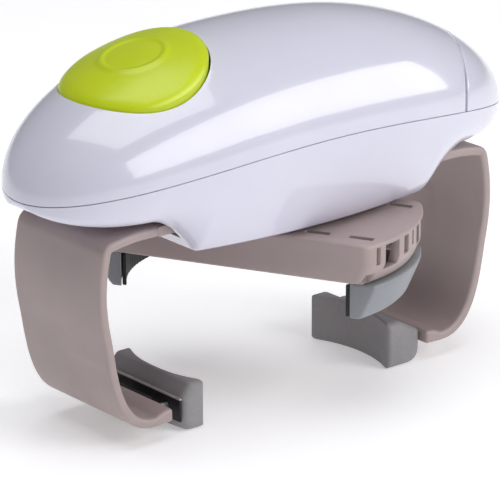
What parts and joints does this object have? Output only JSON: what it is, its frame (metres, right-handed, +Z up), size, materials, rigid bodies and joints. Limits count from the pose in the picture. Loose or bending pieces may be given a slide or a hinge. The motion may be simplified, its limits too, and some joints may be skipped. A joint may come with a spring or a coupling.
{
  "type": "electric jar opener",
  "caption": "Battery jar opener: egg-shaped motor housing over a turning lid gripper, with two C-shaped sliding arms that clamp the jar.",
  "frame": {"origin": "centre of the footprint, on the plane the jar pads stand on; the lid gripper turns about the vertical axis through it", "axes": "+Z up out of the housing's crown, +X along the body towards the battery end, -X towards the button"},
  "size_m": [0.184, 0.1018, 0.1209],
  "materials": {
    "white_plastic": "glossy white with a faint lavender tint, smooth moulded shell",
    "lime_plastic": "glossy lime green, smooth domed button",
    "taupe_plastic": "satin warm beige-grey moulded plastic",
    "pad_rubber": "matt mid grey soft rubber",
    "jaw_plastic": "satin cool grey moulded plastic",
    "black_rubber": "matt black grip rubber",
    "black_plastic": "matt black moulded plastic",
    "steel": "plain bright steel",
    "brass": "machined brass",
    "nylon": "natural nylon, greased gear teeth",
    "board_green": "green circuit board",
    "cell_wrap": "dark battery wrap, unmarked"
  },
  "bodies": {
    "housing": {"upper_housing": "white_plastic", "lower_housing": "white_plastic", "switch_board": "board_green", "switch_body": "black_plastic", "button_spring": "steel", "lower_gear_plate": "steel", "upper_gear_plate": "steel", "gear_plate_post_1": "steel", "gear_plate_post_2": "steel", "gear_plate_post_3": "steel", "gear_plate_post_4": "steel", "chassis_screw_1": "steel", "chassis_screw_2": "steel", "motor": "steel", "first_gear_pin": "steel", "second_gear_pin": "steel", "battery_1": "cell_wrap", "battery_2": "cell_wrap", "battery_tray": "white_plastic", "battery_contact_plus": "steel", "battery_spring_minus": "steel", "housing_screw_1": "steel", "housing_screw_2": "steel", "housing_screw_3": "steel", "housing_screw_4": "steel"},
    "battery_door": {"battery_door": "white_plastic", "battery_bridge_contact": "steel"},
    "power_button": {"power_button": "lime_plastic"},
    "switch_plunger": {"switch_plunger": "black_plastic"},
    "right_arm": {"right_arm": "taupe_plastic", "right_jar_pad": "pad_rubber"},
    "left_arm": {"left_arm": "taupe_plastic", "left_pad_buffer": "black_rubber"},
    "left_pad": {"left_jar_pad": "pad_rubber", "left_pad_backing": "steel", "left_pad_pin_1": "steel", "left_pad_pin_2": "steel"},
    "arm_drive": {"arm_pinion": "nylon", "ring_gear": "nylon"},
    "turntable": {"turntable_body": "taupe_plastic", "turntable_cover": "taupe_plastic", "turntable_screw_1": "steel", "turntable_screw_2": "steel", "turntable_retainer": "steel"},
    "right_jaw": {"right_lid_jaw": "jaw_plastic", "right_jaw_liner": "black_rubber"},
    "left_jaw": {"left_lid_jaw": "jaw_plastic", "left_jaw_liner": "black_rubber"},
    "jaw_drive": {"drive_spindle": "steel", "sun_gear": "brass", "spindle_clip": "steel", "jaw_pinion": "nylon"},
    "main_gear": {"main_gear": "nylon"},
    "planet_1": {"planet_gear_1": "nylon"},
    "planet_2": {"planet_gear_2": "nylon"},
    "planet_3": {"planet_gear_3": "nylon"},
    "second_gear": {"second_gear": "nylon"},
    "first_gear": {"first_gear": "nylon"},
    "rotor": {"motor_shaft": "steel", "motor_pinion": "brass"}
  },
  "joints": [
    {"name": "battery_door_slide", "type": "slide", "parent": "housing", "child": "battery_door", "axis": [1, 0, 0], "range_m": [0, 0.03]},
    {"name": "button_press", "type": "slide", "parent": "housing", "child": "power_button", "axis": [0, 0, -1], "range_m": [0, 0.002], "stiffness_N_per_m": 600, "springref_m": -0.0015, "deforming": ["button_spring"]},
    {"name": "switch_plunger_slide", "type": "slide", "parent": "housing", "child": "switch_plunger", "axis": [0, 0, -1], "range_m": [0, 0.002]},
    {"name": "right_arm_slide", "type": "slide", "parent": "housing", "child": "right_arm", "axis": [-1, 0, 0], "range_m": [-0.004, 0.021]},
    {"name": "left_arm_slide", "type": "slide", "parent": "housing", "child": "left_arm", "axis": [1, 0, 0], "range_m": [-0.004, 0.021]},
    {"name": "arm_pinion_spin", "type": "hinge", "parent": "housing", "child": "arm_drive", "pos_m": [0, 0, 0.068], "axis": [0, 0, 1], "range_deg": [-29, 151]},
    {"name": "left_pad_float", "type": "slide", "parent": "left_arm", "child": "left_pad", "axis": [-1, 0, 0], "range_m": [0, 0.002], "stiffness_N_per_m": 4000, "springref_m": -0.0005},
    {"name": "turntable_spin", "type": "hinge", "parent": "housing", "child": "turntable", "pos_m": [0, 0, 0.052], "axis": [0, 0, 1], "continuous": true},
    {"name": "right_jaw_slide", "type": "slide", "parent": "turntable", "child": "right_jaw", "axis": [-0.4695, 0.8829, 0], "range_m": [0, 0.024]},
    {"name": "left_jaw_slide", "type": "slide", "parent": "turntable", "child": "left_jaw", "axis": [0.4695, -0.8829, 0], "range_m": [0, 0.024]},
    {"name": "jaw_drive_spin", "type": "hinge", "parent": "turntable", "child": "jaw_drive", "pos_m": [0, 0, 0.052], "axis": [0, 0, 1], "range_deg": [0, 197]},
    {"name": "main_gear_spin", "type": "hinge", "parent": "housing", "child": "main_gear", "pos_m": [0, 0, 0.082], "axis": [0, 0, 1], "continuous": true},
    {"name": "planet_1_spin", "type": "hinge", "parent": "main_gear", "child": "planet_1", "pos_m": [0.0096, 0, 0.078], "axis": [0, 0, 1], "continuous": true},
    {"name": "planet_2_spin", "type": "hinge", "parent": "main_gear", "child": "planet_2", "pos_m": [-0.0048, 0.00831, 0.078], "axis": [0, 0, 1], "continuous": true},
    {"name": "planet_3_spin", "type": "hinge", "parent": "main_gear", "child": "planet_3", "pos_m": [-0.0048, -0.00831, 0.078], "axis": [0, 0, 1], "continuous": true},
    {"name": "second_gear_spin", "type": "hinge", "parent": "housing", "child": "second_gear", "pos_m": [-0.01445, 0.01496, 0.085], "axis": [0, 0, 1], "continuous": true},
    {"name": "first_gear_spin", "type": "hinge", "parent": "housing", "child": "first_gear", "pos_m": [-0.02265, 0.0054, 0.095], "axis": [0, 0, 1], "continuous": true},
    {"name": "motor_spin", "type": "hinge", "parent": "housing", "child": "rotor", "pos_m": [-0.036, 0, 0.102], "axis": [0, 0, 1], "continuous": true}
  ],
  "couplings": [
    {"joint": "switch_plunger_slide", "follows": "button_press", "ratio": 1},
    {"joint": "left_arm_slide", "follows": "right_arm_slide", "ratio": 1},
    {"joint": "arm_pinion_spin", "follows": "right_arm_slide", "rad_per_m": 125},
    {"joint": "left_jaw_slide", "follows": "right_jaw_slide", "ratio": 1},
    {"joint": "jaw_drive_spin", "follows": "right_jaw_slide", "rad_per_m": 142.86},
    {"joint": "main_gear_spin", "follows": "turntable_spin", "ratio": 0.25},
    {"joint": "planet_1_spin", "follows": "turntable_spin", "ratio": -0.75},
    {"joint": "planet_2_spin", "follows": "turntable_spin", "ratio": -0.75},
    {"joint": "planet_3_spin", "follows": "turntable_spin", "ratio": -0.75},
    {"joint": "second_gear_spin", "follows": "turntable_spin", "ratio": -1.05},
    {"joint": "first_gear_spin", "follows": "turntable_spin", "ratio": 3.36},
    {"joint": "motor_spin", "follows": "turntable_spin", "ratio": -10.08}
  ]
}
